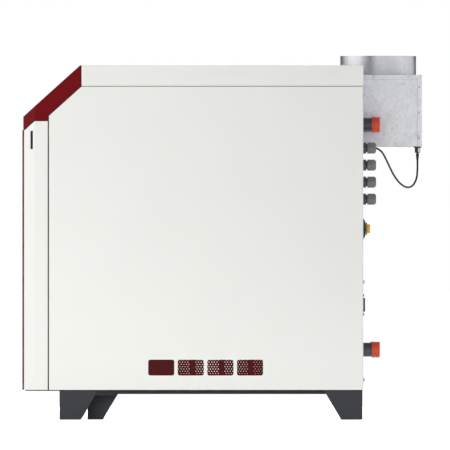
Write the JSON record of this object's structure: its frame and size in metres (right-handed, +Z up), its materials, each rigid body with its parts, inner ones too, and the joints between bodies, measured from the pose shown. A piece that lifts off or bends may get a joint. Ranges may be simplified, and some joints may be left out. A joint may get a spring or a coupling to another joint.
{
  "type": "cast iron gas boiler",
  "caption": "Floor-standing gas boiler with a folded sheet casing, sloping control hood, side air vents, cast iron sections and a rear draught diverter with a round flue collar.",
  "frame": {"origin": "on the floor, under the middle of the outline from the front panel to the diverter's rear", "axes": "+Z up, front faces -Y, diverter and pipes at +Y, +X to the right seen from the front"},
  "size_m": [0.6, 0.96, 0.8747],
  "materials": {
    "casing_white": "satin powder coat",
    "accent_red": "satin powder coat",
    "mesh_red": "satin paint on perforated sheet",
    "base_graphite": "matt powder coat",
    "galvanised": "galvanised sheet",
    "zinc_steel": "zinc plated",
    "valve_metal": "die cast",
    "cast_iron": "as cast",
    "black_steel": "black pipe",
    "black_plastic": "fine texture",
    "grey_plastic": "moulded",
    "yellow_plastic": "moulded",
    "red_plastic": "moulded",
    "cable_rubber": "matt",
    "display_glass": "dark glossy window"
  },
  "bodies": {
    "boiler": {"base_tray": "base_graphite", "base_rails": "base_graphite", "front_foot_left": "base_graphite", "front_foot_right": "base_graphite", "rear_foot_left": "base_graphite", "rear_foot_right": "base_graphite", "inner_leg_left": "base_graphite", "inner_leg_right": "base_graphite", "side_panel_left": "casing_white", "side_panel_right": "casing_white", "vent_meshes": "mesh_red", "rear_panel": "galvanised", "front_frame": "base_graphite", "top_cover": "casing_white", "control_hood": "accent_red", "control_fascia": "black_plastic", "display_window": "display_glass", "front_door": "casing_white", "front_panel": "accent_red", "door_grips": "black_plastic", "front_section": "cast_iron", "middle_sections": "cast_iron", "rear_section": "cast_iron", "tie_rods": "zinc_steel", "burner_tubes": "zinc_steel", "gas_manifold": "black_steel", "gas_valve": "valve_metal", "gas_pipe": "black_steel", "flow_pipe": "black_steel", "return_pipe": "black_steel", "pipe_caps": "red_plastic", "smoke_hood": "galvanised", "diverter_sides": "galvanised", "diverter_front": "galvanised", "diverter_top": "galvanised", "diverter_back": "galvanised", "flue_collar": "galvanised", "gland_bodies": "grey_plastic", "gland_nuts": "grey_plastic", "main_switch_plate": "black_plastic", "blanking_cover": "black_plastic", "spillage_sensor": "black_plastic", "sensor_boot": "cable_rubber", "sensor_cable": "cable_rubber"},
    "switch_knob": {"main_switch_knob": "yellow_plastic"}
  },
  "joints": [
    {"name": "main_switch_turn", "type": "hinge", "parent": "boiler", "child": "switch_knob", "pos_m": [0.262, 0.3432, 0.458], "axis": [0, 1, 0], "range_deg": [0, 90]}
  ]
}
